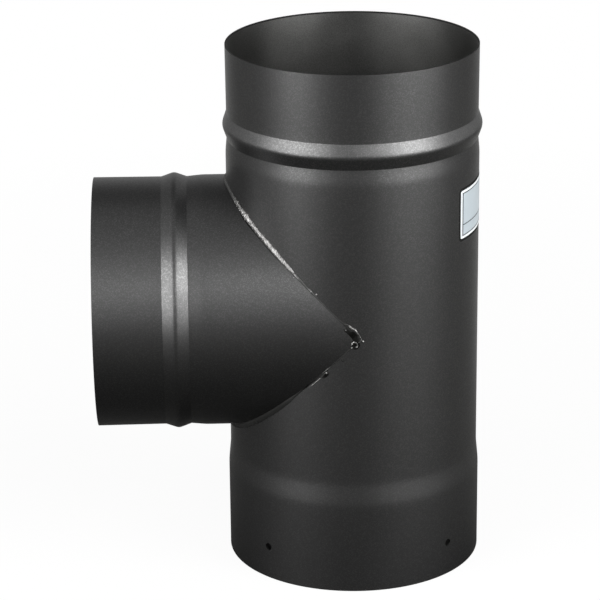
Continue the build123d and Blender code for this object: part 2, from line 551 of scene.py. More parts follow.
# %% Give each face its finish
outside_paint, dark_edge, inside_dust = range(3)
for piece, node in ((run, "run_pipe"), (branch, "branch_pipe")):
    piece.data.materials.clear()
    for finish in (stove_paint, sheared_edge_shade, dry_overspray):
        piece.data.materials.append(finish)
    mouths = ((2, 0.0), (2, run_height)) if piece == run else ((0, -branch_reach),)
    for face in piece.data.polygons:
        x, y, z = face.center
        from_mouth = min(abs(face.center[axis] - level) for axis, level in mouths)
        from_axis = Vector((x, y, 0)) if piece == run else Vector((0, y, z - branch_height))
        faces_in = face.normal.dot(from_axis.normalized()) < -0.5
        on_edge = from_mouth < 0.01 * mm or faces_in and from_mouth < lip
        face.material_index = dark_edge if on_edge else inside_dust if faces_in else outside_paint
    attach(piece, "root")
    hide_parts(node)
    edge_faces = sum(face.material_index == dark_edge for face in piece.data.polygons)
    print(piece.name, "faces on a dark edge:", edge_faces)

# %% [markdown]
# ## Weld metal
#
# A weld run by hand is a row of small ripples, wider where the welder paused and thin where the two edges met
# well. Here it was painted over and then touched up, so a stretch of the upper leg is bare and bright. Fresh
# weld steel is a rough, grey metal with a slight warmth. In the weld's pits, creases and undercuts the colour
# is painted near black: painted shade.
#
# Bare and painted stretches could be two materials, but they fade into each other. So one attribute says
# which: above zero the paint wears through to steel, and below zero the colour is painted near black as
# shade.

# %% Weld steel, part painted and part bare
weld_steel, tree, shader, at = new_finish("weld bead, painted and part bare steel")
bare = put(tree, "ShaderNodeAttribute", attribute_name="bare").outputs["Fac"]
blotch_size = 1.1 * mm
blotches = {"Vector": at, "Scale": 1 / blotch_size, "Detail": 4.0, "Roughness": 0.65}
patch = put(tree, "ShaderNodeTexNoise", feeds=blotches)
wear = put(tree, "ShaderNodeMath", bare, patch, operation="ADD")
worn = put(tree, "ShaderNodeMapRange", wear, 0.86, 1.02, 0.0, 1.0)
weld_colour = put(tree, "ShaderNodeMix", feeds=between(worn, "#4b4b4a", "#8a8988"), data_type="RGBA")
# Below zero the colour goes near black, with less gloss and a rougher sheen: painted shade.
painted_shade = put(tree, "ShaderNodeMapRange", bare, -0.6, -0.1, 1.0, 0.0)
with_painted_shade = put(tree, "ShaderNodeMix", feeds=between(painted_shade, weld_colour, "#0d0d0c"), data_type="RGBA")
metal_outside_shade = put(tree, "ShaderNodeMath", 1, painted_shade, operation="SUBTRACT")
weld_rough = put(tree, "ShaderNodeMapRange", worn, 0.0, 1.0, 0.46, 0.38)
rougher_in_painted_shade = put(tree, "ShaderNodeMath", painted_shade, 0.3, weld_rough, operation="MULTIPLY_ADD")
gloss_dimmed_in_shade = put(tree, "ShaderNodeMath", metal_outside_shade, 0.5, operation="MULTIPLY")
pits = put(tree, "ShaderNodeBump", feeds={"Strength": 0.9, "Distance": 0.2 * mm, "Height": patch})
feed(tree, shader, {"Base Color": with_painted_shade, "Metallic": metal_outside_shade, "Roughness": rougher_in_painted_shade})
feed(tree, shader, {"Specular IOR Level": gloss_dimmed_in_shade, "Normal": pits})

# %% [markdown]
# ## A recipe for a weld bead on any path
#
# A bead needs to know, at each point of its path, which way is out, which way each edge of it runs, how wide
# and how tall it is, how bare, and where it is painted dark as shade. A curve with a bevel can't carry all
# that.
# So the path is a line of points that has those as attributes. The recipe sweeps a domed section along it,
# adds the ripples and the unevenness, and buries the underside in the sheet.

# %% Recipe: read the path and the section
arrows = ("out", "left", "right")
amounts = ("width", "rise", "valley", "bare", "crumbs", "along")
bead, given, result = new_recipe(
    "Weld bead on a path",
    {
        "Section": "Object",
        "Ripple length": "Float",
        "Ripple depth": "Float",
        "Unevenness": "Float",
        "Seed": "Float",
        "Finish": "Material",
    },
)
path, seed = given.outputs["Geometry"], given.outputs["Seed"]
section = put(bead, "GeometryNodeObjectInfo", given.outputs["Section"]).outputs["Geometry"]
section_count = put(bead, "GeometryNodeAttributeDomainSize", section).outputs["Point Count"]
path_count = put(bead, "GeometryNodeAttributeDomainSize", path).outputs["Point Count"]
section_rows = put(bead, "ShaderNodeMath", section_count, 1, operation="ADD")
sheet, across = flat_sheet(bead, path_count, section_rows)
dome = line_point(bead, section, section_count, across.outputs["Y"])[1]
last_point = put(bead, "ShaderNodeMath", path_count, 1, operation="SUBTRACT")
path_place = put(bead, "ShaderNodeMath", across.outputs["X"], last_point, operation="MULTIPLY")
path_index = put(bead, "ShaderNodeMath", path_place, operation="ROUND")
carried = {}
for word in ("position", *arrows, *amounts):
    kind = "FLOAT" if word in amounts else "FLOAT_VECTOR"
    value = put(bead, "GeometryNodeInputNamedAttribute", word, data_type=kind)
    feeds = {"Value": value, "Index": path_index}
    carried[word] = put(bead, "GeometryNodeSampleIndex", path, data_type=kind, feeds=feeds)
print("attributes that the path carries:", len(carried))

# %% [markdown]
# Each point of the section first goes out to its side, along the arrow of that side. A slow noise makes the
# edges wander a little, as a hand does.

# %% Recipe: how far the bead reaches to its sides
wander_waves, wander_share = 0.42 / mm, 0.3  # the edges wander by 30 %, in waves of 2.4 mm
dome_x, dome_z = dome.outputs["X"], dome.outputs["Z"]
wander_at = put(bead, "ShaderNodeMath", carried["along"], seed, operation="ADD")
waves = {"W": wander_at, "Scale": wander_waves}
wander = put(bead, "ShaderNodeTexNoise", feeds=waves, noise_dimensions="1D")
wandered = put(bead, "ShaderNodeMapRange", wander, 0.0, 1.0, 1 - wander_share, 1 + wander_share)
half_width = put(bead, "ShaderNodeMath", carried["width"], wandered, operation="MULTIPLY")
to_side = put(bead, "ShaderNodeMath", dome_x, half_width, operation="MULTIPLY")
to_right = put(bead, "ShaderNodeMath", to_side, 0, operation="MAXIMUM")
turned_side = put(bead, "ShaderNodeMath", to_side, -1, operation="MULTIPLY")
to_left = put(bead, "ShaderNodeMath", turned_side, 0, operation="MAXIMUM")
right_step = put(bead, "ShaderNodeVectorMath", carried["right"], feeds={"Scale": to_right}, operation="SCALE")
left_step = put(bead, "ShaderNodeVectorMath", carried["left"], feeds={"Scale": to_left}, operation="SCALE")
side_step = put(bead, "ShaderNodeVectorMath", right_step, left_step, operation="ADD")
on_sheet = put(bead, "ShaderNodeVectorMath", carried["position"], side_step, operation="ADD")
print("nodes up to the sides:", len(bead.nodes))

# %% [markdown]
# Then it rises along the way out. Its height is the dome's, with ripples that bow back at the edges, with
# lumps, and with a fill where the bead lies in the corner between the pipes.

# %% Recipe: how high the bead stands
ripple_bow = 0.45  # how far a ripple lags behind at the bead's edges, in ripples
lump_waves, bare_lumps = 0.9 / mm, 0.4  # lumps of 1.1 mm, and how much taller bareness makes them
bead_sink = 0.4 * mm  # how far the underside is buried
turns = put(bead, "ShaderNodeMath", carried["along"], given.outputs["Ripple length"], operation="DIVIDE")
bow = put(bead, "ShaderNodeMath", dome_x, dome_x, operation="MULTIPLY")
phase = put(bead, "ShaderNodeMath", bow, ripple_bow, turns, operation="MULTIPLY_ADD")
wave_angle = put(bead, "ShaderNodeMath", phase, math.tau, operation="MULTIPLY")
wave = put(bead, "ShaderNodeMath", wave_angle, operation="SINE")
rough_seed = put(bead, "ShaderNodeCombineXYZ", seed)
rough_at = put(bead, "ShaderNodeVectorMath", on_sheet, rough_seed, operation="ADD")
lumps = put(bead, "ShaderNodeTexNoise", feeds={"Vector": rough_at, "Scale": lump_waves, "Detail": 2.0})
lumps_about = put(bead, "ShaderNodeMapRange", lumps, 0.25, 0.75, -1.0, 1.0)
rippled = put(bead, "ShaderNodeMath", wave, given.outputs["Ripple depth"], 1.0, operation="MULTIPLY_ADD")
bare_and_uneven = (carried["bare"], bare_lumps, given.outputs["Unevenness"])
rougher = put(bead, "ShaderNodeMath", *bare_and_uneven, operation="MULTIPLY_ADD")
uneven = put(bead, "ShaderNodeMath", lumps_about, rougher, rippled, operation="MULTIPLY_ADD")
standing = put(bead, "ShaderNodeMath", carried["rise"], uneven, operation="MULTIPLY")
off_middle = put(bead, "ShaderNodeMath", dome_x, operation="ABSOLUTE")
slack = put(bead, "ShaderNodeMath", 1, off_middle, operation="SUBTRACT")
corner = put(bead, "ShaderNodeMath", carried["valley"], half_width, operation="MULTIPLY")
fill = put(bead, "ShaderNodeMath", slack, corner, operation="MULTIPLY")
full = put(bead, "ShaderNodeMath", standing, fill, operation="ADD")
above = put(bead, "ShaderNodeMath", dome_z, 0, operation="MAXIMUM")
below = put(bead, "ShaderNodeMath", dome_z, 0, operation="MINIMUM")
sunk = put(bead, "ShaderNodeMath", below, bead_sink, operation="MULTIPLY")
lift = put(bead, "ShaderNodeMath", above, full, sunk, operation="MULTIPLY_ADD")
lifted = put(bead, "ShaderNodeVectorMath", carried["out"], feeds={"Scale": lift}, operation="SCALE")
surface = put(bead, "ShaderNodeVectorMath", on_sheet, lifted, operation="ADD")
print("nodes up to the height:", len(bead.nodes))

# %% [markdown]
# Bareness, which below zero is painted shade, and crumbs are noted while the sheet is still flat, because
# they are read by place on the sheet. Only then are its points moved, and its doubles merged.

# %% Recipe: note the bareness and painted shade, and move the sheet
marked = sheet
for word in ("bare", "crumbs"):
    feeds = {"Name": word, "Value": carried[word]}
    marked = put(bead, "GeometryNodeStoreNamedAttribute", marked, feeds=feeds, data_type="FLOAT")
placed = put(bead, "GeometryNodeSetPosition", marked, feeds={"Position": surface})
closed = put(bead, "GeometryNodeMergeByDistance", placed, feeds={"Distance": double_distance / 2})
end_recipe(bead, closed, given, result)

# %% [markdown]
# The recipe is used for every run of weld metal. So one function turns a list of stations to a path with its
# attributes, and cooks the bead on it.

# %% Run a bead along a path of points


def domed_section(top_points=11, under_points=5):
    """A bead's section: X from edge to edge, Z from 0 at the edges to 1 on top, and -1 underneath."""
    mesh = bpy.data.meshes.new("bead section")
    top = [-math.cos(math.pi * index / (top_points - 1)) for index in range(top_points)]
    under = [math.cos(math.pi * (index + 0.5) / under_points) for index in range(under_points)]
    points = [(x, 0, max(0.0, 1 - x * x) ** 0.6) for x in top] + [(x, 0, -1) for x in under]
    points[0], points[top_points - 1] = (-1, 0, -0.25), (1, 0, -0.25)
    mesh.from_pydata(points, [], [])
    return new_piece("bead_section", mesh)


def run_bead(name, stations, ripple=1.5 * mm, depth=0.10, unevenness=0.25, seed=0.0, finish=weld_steel):
    """Lay a bead along stations, each a dict with the bead recipe's attributes."""
    mesh = bpy.data.meshes.new(name)
    mesh.from_pydata([station["position"] for station in stations], [], [])
    for word in arrows:
        values = mesh.attributes.new(word, "FLOAT_VECTOR", "POINT").data
        values.foreach_set("vector", [part for station in stations for part in station[word]])
    for word in amounts:
        values = mesh.attributes.new(word, "FLOAT", "POINT").data
        values.foreach_set("value", [station.get(word, 0.0) for station in stations])
    host = new_piece(name, mesh)
    sizes = {"Section": section, "Ripple length": ripple, "Ripple depth": depth, "Unevenness": unevenness}
    cook(host, bead, {**sizes, "Seed": seed, "Finish": finish})
    return close_up(freeze(host, name), sharp_degrees=60)


def measure(stations):
    """Note at each station how far along the path it lies."""
    length = 0.0
    for before, station in zip([stations[0], *stations], stations):
        length += (Vector(station["position"]) - Vector(before["position"])).length
        station["along"] = length
    return stations


section = domed_section()
print("points of a bead's section:", len(section.data.vertices))

# %% [markdown]
# The V line is known exactly: at an angle t round the pipes it lies at (-R sin t, R cos t, R sin t), counted
# from the branch's axis. Along the run's side the bead's edge goes straight up the run, and along the
# branch's side straight out along the branch. Small tables then say, from the crotch to the tip, how wide,
# how tall and how bare the bead is, and a bareness below zero is painted shade. The upper leg is bare towards
# the tip, and the lower one is mostly painted near black as shade. The back of the tee, which gets an even
# bead, has a table of its own.

# %% Tables of the saddle weld
# Below zero, bareness is painted shade: near black in the creases near the tip and all along the lower leg.
front_upper = [  # distance from the tee's middle plane, half width, rise, bareness, crumbs
    (76.2, 1.1, 0.4, 0.0, 0.0),
    (73.0, 1.2, 0.5, 0.25, 0.0),
    (71.0, 1.4, 0.8, 0.34, 0.0),
    (69.0, 1.4, 0.8, 0.36, 0.3),
    (67.0, 1.4, 0.8, 0.5, 1.0),
    (65.0, 1.6, 0.9, 0.6, 1.0),
    (63.0, 1.6, 0.9, 0.7, 0.6),
    (60.0, 1.4, 1.0, 0.6, 0.3),
    (56.0, 1.3, 1.0, 0.52, 0.25),
    (52.0, 1.55, 1.0, 0.62, 0.25),
    (48.0, 1.5, 1.0, 0.6, 0.25),
    (45.0, 1.2, 0.9, 0.55, 0.2),
    (40.0, 1.15, 0.8, 0.58, 0.2),
    (38.0, 0.8, 0.5, 0.5, 0.0),
    (35.0, 0.6, 0.3, 0.34, 0.0),
    (30.0, 0.5, 0.2, 0.2, 0.0),
    (28.0, 0.7, 0.4, 0.4, 0.0),
    (25.0, 0.35, 0.12, -0.3, 0.0),
    (14.0, 0.35, 0.12, -0.4, 0.0),
    (6.0, 0.6, 0.2, -0.5, 0.0),
    (0.0, 1.0, 0.3, -0.5, 0.0),
]
front_lower = [
    (76.2, 1.3, 0.5, 0.0, 0.0),
    (66.0, 1.6, 0.6, -0.4, 0.0),
    (60.0, 1.7, 0.6, -0.48, 0.0),
    (45.0, 1.5, 0.5, -0.5, 0.0),
    (40.0, 1.1, 0.4, -0.45, 0.0),
    (36.0, 0.6, 0.2, -0.5, 0.0),
    (31.0, 0.4, 0.12, -0.6, 0.0),
    (22.0, 0.4, 0.12, -0.5, 0.0),
    (20.0, 0.9, 0.6, 0.2, 0.0),
    (17.0, 0.35, 0.12, -0.5, 0.0),
    (8.0, 0.4, 0.15, -0.45, 0.0),
    (0.0, 1.0, 0.3, -0.5, 0.0),
]
even_back = [
    (76.2, 1.2, 0.4, 0.0, 0.0),
    (66.0, 1.6, 0.8, 0.0, 0.0),
    (40.0, 1.6, 0.85, 0.1, 0.0),
    (0.0, 1.6, 0.8, 0.1, 0.0),
]
print("lines in the tables:", len(front_upper) + len(front_lower) + len(even_back))

# %% Lay the two legs of the saddle weld
lean_zone = 0.2  # on the front the metal leans over on the run, fully from this share of the radius
off_branch, on_run = 0.45, 0.5  # shares of its width that it loses on the branch and gains on the run
corner_fill = 0.8


def read_table(table, distance):
    """Width, rise, bareness and crumbs at a distance, read between the lines of a table."""
    for near, far in zip(table, table[1:]):
        if near[0] >= distance >= far[0]:
            share = (near[0] - distance) / (near[0] - far[0])
            return [a + (b - a) * share for a, b in zip(near[1:], far[1:])]
    return table[-1][1:]


def leg_stations(side, front, steps=900):
    """Stations of a leg of the V, from the back tip to the front one. `side` is 1 for the upper leg."""
    stations = []
    for step in range(steps + 1):
        t = math.pi * step / steps
        out_of_plane, to_front = body_radius * math.sin(t), math.cos(t)
        table = front if to_front < 0 else even_back
        width, rise, bare, crumbs = read_table(table, out_of_plane / mm)
        lean = min(1.0, max(0.0, -to_front / lean_zone))
        out = Vector((-math.sin(t), 2 * math.cos(t), side * math.sin(t)))
        station = {
            "position": (-out_of_plane, body_radius * to_front, branch_height + side * out_of_plane),
            "out": out.normalized(),
            "left": ((-1 + off_branch * lean) * math.sqrt(2), 0, 0),
            "right": (0, 0, (1 + on_run * lean) * side * math.sqrt(2)),
            "width": width * mm,
            "rise": rise * mm,
            "valley": corner_fill * math.sin(t) / math.sqrt(math.sin(t) ** 2 + 2 * math.cos(t) ** 2),
            "bare": bare,
            "crumbs": crumbs,
        }
        stations.append(station)
    return measure(stations)


upper_leg = run_bead("upper_leg", leg_stations(1, front_upper), seed=0.3)
lower_leg = run_bead("lower_leg", leg_stations(-1, front_lower), seed=1.7)

# %% [markdown]
# Where the two legs meet, the welder filled the point with a flat puddle, and its edge froze as a ridge that
# curls round on itself. The puddle, a line along the branch's side of the bare stretch and a spot on the
# lower leg are painted near black as shade. These short runs lie on the front of the pipes, so their paths
# are given by points across and up, in millimetres from the tip, and the pipes' roundness gives the rest.

# %% Read a path on the pipes' surface
ramp_stations, thin_end = 5, 0.3  # a short run starts and ends at 0.3 of its width, over five stations


def on_pipe(across, up, front=-1):
    """A point on the pipes' outside and the way out there, on the branch to the left of the V."""
    in_branch = across < -abs(up)
    height = up if in_branch else across
    depth = front * math.sqrt(body_radius ** 2 - height ** 2)
    out = Vector((0, depth, up)) if in_branch else Vector((across, depth, 0))
    return Vector((across, depth, branch_height + up)), out.normalized()


def smooth_path(points, steps):
    """Points along a soft curve through the given ones."""
    dots = [Vector(point) for point in points]
    dots = [2 * dots[0] - dots[1], *dots, 2 * dots[-1] - dots[-2]]
    path = []
    for a, b, c, d in zip(dots, dots[1:], dots[2:], dots[3:]):
        for step in range(steps):
            t = step / steps
            squared, cubed = 2 * a - 5 * b + 4 * c - d, 3 * b - a - 3 * c + d
            path.append(0.5 * (2 * b + (c - a) * t + squared * t**2 + cubed * t**3))
    return path + [dots[-2]]


def surface_stations(table, front=-1, steps=14):
    """Stations of a bead on the pipes' surface, from a table with its lengths in mm."""
    path = smooth_path(table, steps)
    spots = [on_pipe(line[0] * mm, line[1] * mm, front) for line in path]
    last = len(path) - 1
    stations = []
    for index, (line, (point, out)) in enumerate(zip(path, spots)):
        along = spots[min(index + 1, last)][0] - spots[max(index - 1, 0)][0]
        right = out.cross(along).normalized()
        swell = thin_end + (1 - thin_end) * min(1.0, index / ramp_stations, (last - index) / ramp_stations)
        station = {"position": point, "out": out, "left": -right, "right": right}
        station.update(width=line[2] * mm * swell, rise=line[3] * mm * swell, bare=line[4])
        stations.append(station)
    return measure(stations)


print("the front tip in mm:", [round(part / mm, 1) for part in on_pipe(0, 0)[0]])

# %% Lay the short runs at the tip
# A bareness below zero, in the puddle, the line and the spot below, is painted shade.
ridge = [  # across, up, half width, rise, bareness
    (-9.0, 9.9, 0.45, 0.3, 0.2),
    (-7.0, 9.0, 0.55, 0.4, 0.3),
    (-5.4, 8.1, 0.6, 0.7, 0.5),
    (-3.9, 6.9, 0.7, 0.8, 0.55),
    (-2.7, 6.3, 0.65, 0.8, 0.55),
    (-1.5, 4.6, 0.55, 0.7, 0.45),
    (0.0, 2.1, 0.4, 0.5, 0.35),
    (0.9, 0.2, 0.35, 0.4, 0.35),
    (0.4, -1.3, 0.4, 0.4, 0.3),
    (-1.0, -2.2, 0.35, 0.3, 0.2),
]
crescent = [
    (-4.9, -3.6, 0.45, 0.5, 0.45),
    (-4.5, -2.6, 0.55, 0.7, 0.55),
    (-3.6, -1.6, 0.6, 0.8, 0.6),
    (-2.6, -1.4, 0.5, 0.7, 0.5),
    (-1.7, -2.3, 0.45, 0.5, 0.35),
    (-1.2, -3.5, 0.45, 0.5, 0.3),
    (-1.7, -4.4, 0.6, 0.7, 0.55),
    (-2.9, -4.6, 0.45, 0.4, 0.3),
]
puddle = [
    (-9.4, 6.8, 0.8, 0.2, -0.5),
    (-6.6, 5.2, 1.5, 0.3, -0.57),
    (-3.8, 3.0, 1.9, 0.4, -0.6),
    (-2.2, 0.4, 2.1, 0.4, -0.57),
    (-2.5, -3.2, 2.7, 0.4, -0.6),
    (-4.6, -5.6, 1.2, 0.2, -0.5),
]
thin_edge = [
    (-23.0, -25.0, 0.35, 0.5, 0.45),
    (-26.1, -28.2, 0.4, 0.6, 0.55),
    (-29.8, -31.8, 0.3, 0.4, 0.4),
]
# A thin run painted near black along the branch's side of the bare stretch: painted shade of the bead's
# undercut.
scale_line = [
    (-68.4, 66.4, 0.25, 0.1, -0.5),
    (-66.2, 64.2, 0.35, 0.15, -0.6),
    (-62.8, 60.8, 0.3, 0.15, -0.6),
    (-58.4, 56.5, 0.25, 0.1, -0.5),
    (-51.4, 49.6, 0.22, 0.1, -0.5),
    (-46.2, 44.6, 0.2, 0.1, -0.4),
]
# Painted shade round the blob on the lower leg.
burnt_spot = [
    (-17.8, -20.9, 0.6, 0.15, -0.5),
    (-20.0, -23.2, 1.0, 0.2, -0.6),
    (-22.2, -25.0, 0.5, 0.15, -0.5),
]
back_tip = [
    (-3.5, 3.0, 1.6, 0.9, 0.0),
    (0.0, 0.3, 2.2, 1.2, 0.1),
    (-2.8, -2.6, 1.7, 0.9, 0.0),
]
short_runs = {  # its path, front or back, ripple length in mm, unevenness, seed
    "tip_ridge": (ridge, -1, 1.3, 0.3, 4.1),
    "tip_crescent": (crescent, -1, 1.0, 0.3, 4.6),
    "tip_puddle": (puddle, -1, 1.8, 0.6, 5.0),
    "thin_edge": (thin_edge, -1, 1.2, 0.3, 5.6),
    "scale_line": (scale_line, -1, 1.1, 0.5, 6.2),
    "burnt_spot": (burnt_spot, -1, 1.1, 0.5, 6.9),
    "back_lump": (back_tip, 1, 1.6, 0.25, 5.3),
}
tip_pieces = [
    run_bead(name, surface_stations(table, front), ripple=ripple * mm, unevenness=unevenness, seed=seed)
    for name, (table, front, ripple, unevenness, seed) in short_runs.items()
]

# %% [markdown]
# Spatter is what the arc throws out: round droplets that freeze where they land. Dozens of balls could be
# placed by hand, but a recipe scatters them over the bare stretches of the bead, with a fixed seed so that
# they fall the same way each time.

# %% Recipe: spatter over the bare stretches
spatter_bareness = 0.7
spatter, given, result = new_recipe(
    "Weld spatter",
    {
        "Per square metre": "Float",
        "Smallest": "Float",
        "Largest": "Float",
        "Seed": "Int",
        "Finish": "Material",
    },
)
crumbs = put(spatter, "GeometryNodeInputNamedAttribute", "crumbs", data_type="FLOAT")
density = put(spatter, "ShaderNodeMath", crumbs, given.outputs["Per square metre"], operation="MULTIPLY")
thrown = {"Density": density, "Seed": given.outputs["Seed"]}
landed = put(spatter, "GeometryNodeDistributePointsOnFaces", given.outputs["Geometry"], feeds=thrown)
ball = put(spatter, "GeometryNodeMeshIcoSphere", feeds={"Radius": 1.0, "Subdivisions": 2})
smallest, largest = 2, 3  # the places of the plain numbers' two limits among the random node's inputs
limits = {
    smallest: given.outputs["Smallest"],
    largest: given.outputs["Largest"],
    "Seed": given.outputs["Seed"],
}
size = put(spatter, "FunctionNodeRandomValue", feeds=limits, data_type="FLOAT")
droplets = put(spatter, "GeometryNodeInstanceOnPoints", landed, feeds={"Instance": ball, "Scale": size})
real_droplets = put(spatter, "GeometryNodeRealizeInstances", droplets)
steel = {"Name": "bare", "Value": spatter_bareness}
kept_bare = put(spatter, "GeometryNodeStoreNamedAttribute", real_droplets, feeds=steel, data_type="FLOAT")
end_recipe(spatter, kept_bare, given, result)

# %% Scatter it, and drop a few larger beads one by one
sizes = {
    "Per square metre": 900000.0,
    "Smallest": 0.22 * mm,
    "Largest": 0.5 * mm,
    "Seed": 7,
    "Finish": weld_steel,
}
spatter_host = new_piece("spatter", upper_leg.data.copy())
cook(spatter_host, spatter, sizes)
weld_pieces = [upper_leg, lower_leg, *tip_pieces, close_up(freeze(spatter_host, "spatter"), 180)]
# A drop with bareness below zero, at (-10, -13), is painted near black: painted shade of a pit.
hand_drops = [  # across, up, radius, bareness
    (2.0, -0.9, 0.65, 0.6),
    (-4.6, -4.9, 0.45, 0.55),
    (-8.1, 6.2, 0.55, 0.3),
    (-40.0, 36.8, 0.4, 0.5),
    (-38.0, 36.2, 0.4, 0.5),
    (-25.0, 27.2, 0.7, 0.5),
    (-19.4, -21.4, 0.85, 0.42),
    (-20.6, -21.9, 0.6, 0.3),
    (-10.0, -13.0, 0.7, -0.5),
]
dent_waves, dent_share = 1.5 / mm, 0.25  # each drop is dented by up to a quarter, in waves of 0.7 mm
drop_lift = 0.1  # how far a drop's middle stands off the sheet, in mm
for number, (across_mm, up_mm, radius_mm, bareness_and_shade) in enumerate(hand_drops):
    point, out = on_pipe(across_mm * mm, up_mm * mm)
    mesh = bmesh.new()
    bmesh.ops.create_icosphere(mesh, subdivisions=3, radius=radius_mm * mm)
    for vert in mesh.verts:
        vert.co *= 1 + dent_share * noise.noise(vert.co * dent_waves + Vector((number, 0, 0)))
    bmesh.ops.translate(mesh, verts=mesh.verts, vec=point + out * drop_lift * mm)
    drop = new_piece(f"drop_{number}", bpy.data.meshes.new("drop"))
    mesh.to_mesh(drop.data)
    mesh.free()
    bare = drop.data.attributes.new("bare", "FLOAT", "POINT").data
    bare.foreach_set("value", [bareness_and_shade] * len(bare))
    drop.data.materials.append(weld_steel)
    drop.data.shade_smooth()
    weld_pieces.append(drop)
weld = join_pieces("saddle_weld_bead", weld_pieces)
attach(weld, "root")
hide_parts("saddle_weld")
print("weld faces:", len(weld.data.polygons))

# %% [markdown]
# ## The lengthwise seams
#
# Each tube is closed by a straight weld that is rolled down flush before the ends are shaped. It shows only
# as a faint, slightly rippled band, at the back of the run and underneath the branch. A bump in the paint
# could hint at it, but the bead recipe makes it as a real, very low form.

# %% Lay the two flush seams
seam_half, seam_rise, seam_spacing, seam_fade = 1.3 * mm, 0.10 * mm, 0.8 * mm, 12


def straight_stations(start, end, out, side):
    """Stations of a straight seam from start to end, which fades in and out."""
    steps = math.ceil((end - start).length / seam_spacing)
    stations = []
    for step in range(steps + 1):
        fade = min(1.0, step / seam_fade, (steps - step) / seam_fade)
        station = {"position": start.lerp(end, step / steps), "out": out, "left": -side, "right": side}
        station.update(width=seam_half, rise=seam_rise * fade)
        stations.append(station)
    return measure(stations)


seam_out = Vector((1, 1, 0)).normalized()
seam_bottom = seam_out * body_radius + Vector((0, 0, socket_end))
seam_top = seam_out * body_radius + Vector((0, 0, run_height - bead_end))
seam_side = seam_out.cross(seam_top - seam_bottom).normalized()
under = Vector((0, 0, branch_height - body_radius))
branch_start = under - Vector((branch_reach - bead_end, 0, 0))
branch_end = under - Vector((body_radius + 1 * mm, 0, 0))
seam_lines = {  # its start and end, the ways out and to the side, and its seed
    "run_seam": (seam_bottom, seam_top, seam_out, seam_side, 8.0),
    "branch_seam": (branch_start, branch_end, Vector((0, 0, -1)), Vector((0, 1, 0)), 9.0),
}
seam_look = {"ripple": 1.1 * mm, "depth": 0.3, "unevenness": 0.2, "finish": stove_paint}
for name, (*line, seed) in seam_lines.items():
    seam = run_bead(name, straight_stations(*line), seed=seed, **seam_look)
    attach(seam, "root")
bpy.data.objects.remove(section)

# %% [markdown]
# ## The label
#
# A pale printed film, stuck round the right of the run. It is bare here but for a thin frame and one rule.
# The lines could be a picture on it, but rows of faces in the film's own mesh, with an ink of their own, stay
# crisp and wrap with it. A black line all round the edge of the film is painted shadow of that edge.

# %% Film and ink
label_film, tree, shader, fibre = grainy_finish(
    "pale printed polyester film", 9 * mm, ("#b0bac0", "#bac3c8"), 0.35, detail=3.0
)
film_peel = put(tree, "ShaderNodeBump", feeds={"Strength": 0.15, "Distance": 0.05 * mm, "Height": fibre})
feed(tree, shader, {"Normal": film_peel})
film_edge, tree, shader, at = new_finish("unprinted film edge")
feed(tree, shader, {"Base Color": light_values("#e4e8ea"), "Roughness": 0.4})
label_ink = grainy_finish("thin grey ink on film", 0.4 * mm, ("#2c3236", "#454c50"), 0.45)[0]
# Near black and matt: painted shadow along the film's edge.
painted_edge_shadow = grainy_finish(
    "painted shadow round the film's edge", 0.7 * mm, ("#0b0b0b", "#191918"), 0.8, gloss=0.2
)[0]

# %% [markdown]
# The film is cut and wrapped on the run by a grid of faces. Its lines lie where the printing starts and
# stops, and close together at the rounded corners. The painted shadow of its edge is a second, slightly
# larger sheet of the same kind, near black, under the film.

# %% Rule and wrap a sheet
label_width, label_height, label_corner = 50.0, 29.7, 1.5
label_angle, label_middle = math.radians(-17.4), 227.1 * mm
frame_inset_side, frame_inset, upright_line, line_width = 1.9, 1.5, 1.1, 0.7
rule_up = label_height * (0.5 - 0.716)
rule = (rule_up - line_width / 2, rule_up + line_width / 2)
# How far the painted shadow round the film's edge reaches past it, and the band of its extra grid lines, in
# mm.
edge_shadow_width, edge_shadow_band = 1.7, 2.0
label_thickness, film_sink = 0.15 * mm, 0.02 * mm
edge_shadow_rise, edge_shadow_thickness = 0.03 * mm, 0.06 * mm
corner_lines, edge_band = (0.0, 0.15, 0.35, 0.6, 0.95), 3.2
tint, rim, ink, edge_shadow = range(4)


def ruled(half, inset, line, extra=(), spacing=1.2):
    """Grid lines across a sheet, with fine ones at its corners and at both sides of each printed line."""
    edges = [*corner_lines, inset, inset + line, edge_band]
    lines = {-half + edge for edge in edges} | {half - edge for edge in edges} | set(extra)
    inner = 2 * half - 2 * edge_band
    steps = math.ceil(inner / spacing)
    lines |= {-half + edge_band + inner * step / steps for step in range(1, steps)}
    return sorted(round(place, 4) for place in lines)


